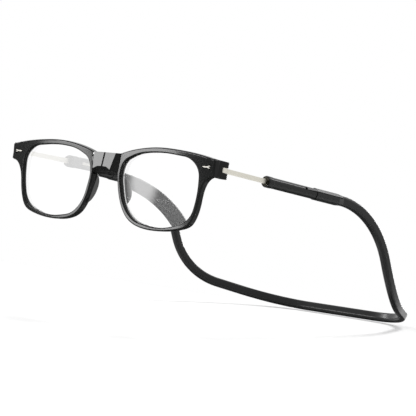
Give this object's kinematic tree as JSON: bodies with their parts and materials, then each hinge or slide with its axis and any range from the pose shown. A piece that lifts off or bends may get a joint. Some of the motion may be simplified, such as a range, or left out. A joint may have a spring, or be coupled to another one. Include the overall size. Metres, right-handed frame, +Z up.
{
  "type": "magnetic bridge reading glasses",
  "caption": "Full rim reading glasses that part at a magnetic bridge, with sliding arms joined by a moulded neckband.",
  "frame": {"origin": "middle of the bounding box on the table that the rims and the neckband rest on", "axes": "+Z up, the front of the glasses faces -Y, +X is the wearer's left"},
  "size_m": [0.1506, 0.2148, 0.0446],
  "materials": {
    "rim_black": "polished black acetate look, glossy",
    "lens_clear": "clear polished lens",
    "magnet_metal": "nickel plated magnet",
    "rivet_metal": "polished metal trim",
    "screw_steel": "dark plated screw",
    "rod_steel": "bright satin steel",
    "stop_black": "moulded bead",
    "ring_steel": "pale metal ring",
    "clip_black": "moulded, semi gloss",
    "tube_black": "moulded, semi gloss",
    "band_black": "smooth moulded elastomer"
  },
  "bodies": {
    "band": {"neckband": "band_black", "arm_tube_left": "tube_black", "guide_ring_left": "ring_steel", "clip_left": "clip_black", "arm_tube_right": "tube_black", "guide_ring_right": "ring_steel", "clip_right": "clip_black"},
    "rod_left": {"rod_left": "rod_steel", "rod_stop_left": "stop_black"},
    "rod_right": {"rod_right": "rod_steel", "rod_stop_right": "stop_black"},
    "front_left": {"rim_left": "rim_black", "lens_left": "lens_clear", "magnet_left": "magnet_metal", "rivet_left": "rivet_metal", "hinge_screw_left": "screw_steel"},
    "front_right": {"rim_right": "rim_black", "lens_right": "lens_clear", "magnet_right": "magnet_metal", "rivet_right": "rivet_metal", "hinge_screw_right": "screw_steel"}
  },
  "joints": [
    {"name": "rod_slide_left", "type": "slide", "parent": "band", "child": "rod_left", "axis": [-0.0572, -0.992, -0.1122], "range_m": [-0.022, 0.003]},
    {"name": "rod_slide_right", "type": "slide", "parent": "band", "child": "rod_right", "axis": [0.0572, -0.992, -0.1122], "range_m": [-0.022, 0.003]},
    {"name": "front_hinge_left", "type": "hinge", "parent": "rod_left", "child": "front_left", "pos_m": [0.0663, -0.0959, 0.03218], "axis": [0.0061, -0.1127, 0.9936], "range_deg": [0, 90]},
    {"name": "front_hinge_right", "type": "hinge", "parent": "rod_right", "child": "front_right", "pos_m": [-0.0663, -0.0959, 0.03218], "axis": [0.0061, 0.1127, -0.9936], "range_deg": [0, 90]}
  ]
}
